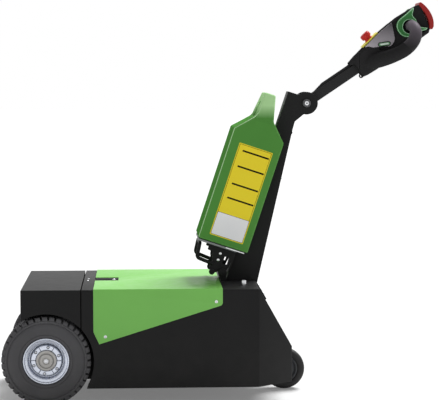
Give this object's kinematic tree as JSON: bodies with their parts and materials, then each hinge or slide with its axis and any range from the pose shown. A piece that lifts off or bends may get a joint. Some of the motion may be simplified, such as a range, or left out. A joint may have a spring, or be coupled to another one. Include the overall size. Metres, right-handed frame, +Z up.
{
  "type": "electric tow tug",
  "caption": "Pedestrian-operated electric tow tug: box chassis on two driven wheels and a swivel castor, battery can on a leaning column, tilting tiller.",
  "frame": {"origin": "on the floor, below the middle of the machine's box", "axes": "+Z up, -X the towing end with the drive wheels and jaw, +X the operator's end, +Y the operator's right"},
  "size_m": [1.2867, 0.4646, 1.1741],
  "materials": {
    "black_paint": "satin powder coat, fine texture",
    "black_plastic": "moulded, soft satin",
    "cast_grey": "painted casting",
    "green_paint": "satin powder coat",
    "green_plastic": "moulded, semi-gloss",
    "grey_plastic": "moulded",
    "hub_grey": "grey paint, satin",
    "red_plastic": "moulded, satin",
    "rim_silver": "silver paint, satin",
    "tyre": "black rubber, slightly dusty",
    "yellow_plastic": "printed sheet, satin",
    "zinc": "bright zinc plate"
  },
  "bodies": {
    "chassis": {"axle_housing": "cast_grey", "battery_base": "zinc", "battery_box": "green_plastic", "battery_cradle": "black_paint", "castor_plate": "zinc", "castor_shelf": "black_paint", "column": "black_paint", "column_cover": "black_paint", "column_foot": "black_paint", "cradle_bail": "zinc", "cradle_bracket": "black_paint", "deck_plate": "black_paint", "drive_motor": "cast_grey", "floor_pan": "black_paint", "frame_rails": "black_paint", "front_bridge": "black_paint", "front_bulkhead": "black_paint", "front_cover": "black_paint", "hitch_plate": "black_paint", "hood": "green_paint", "pivot_bolt": "zinc", "side_panel_left": "black_paint", "side_panel_right": "black_paint", "slope_panel": "black_paint", "tow_jaw": "zinc"},
    "drive_wheel_left": {"drive_left_hub": "hub_grey", "drive_left_rim": "rim_silver", "drive_left_shaft": "zinc", "drive_left_tyre": "tyre"},
    "drive_wheel_right": {"drive_right_hub": "hub_grey", "drive_right_rim": "rim_silver", "drive_right_shaft": "zinc", "drive_right_tyre": "tyre"},
    "castor_swivel": {"castor_fork": "zinc", "castor_axle": "zinc"},
    "castor_wheel": {"castor_tyre": "tyre", "castor_rim": "grey_plastic"},
    "tiller": {"belly_switch": "red_plastic", "cable_cover": "black_paint", "grip_loop_left": "black_plastic", "grip_loop_right": "black_plastic", "horn_buttons": "green_plastic", "paddle_left": "green_plastic", "paddle_right": "green_plastic", "stop_button": "red_plastic", "stop_plate": "yellow_plastic", "tiller_arm": "black_paint", "tiller_head": "black_plastic"}
  },
  "joints": [
    {"name": "drive_wheel_left_spin", "type": "hinge", "parent": "chassis", "child": "drive_wheel_left", "pos_m": [-0.513, -0.1875, 0.13], "axis": [0, 1, 0], "continuous": true},
    {"name": "drive_wheel_right_spin", "type": "hinge", "parent": "chassis", "child": "drive_wheel_right", "pos_m": [-0.513, 0.1875, 0.13], "axis": [0, 1, 0], "continuous": true},
    {"name": "castor_swivel_turn", "type": "hinge", "parent": "chassis", "child": "castor_swivel", "pos_m": [0.1605, 0, 0.12], "axis": [0, 0, 1], "continuous": true},
    {"name": "castor_wheel_spin", "type": "hinge", "parent": "castor_swivel", "child": "castor_wheel", "pos_m": [0.1985, 0, 0.0625], "axis": [0, 1, 0], "continuous": true},
    {"name": "tiller_tilt", "type": "hinge", "parent": "chassis", "child": "tiller", "pos_m": [0.26151, 0, 0.872], "axis": [0, -1, 0], "range_deg": [-50, 46]}
  ]
}
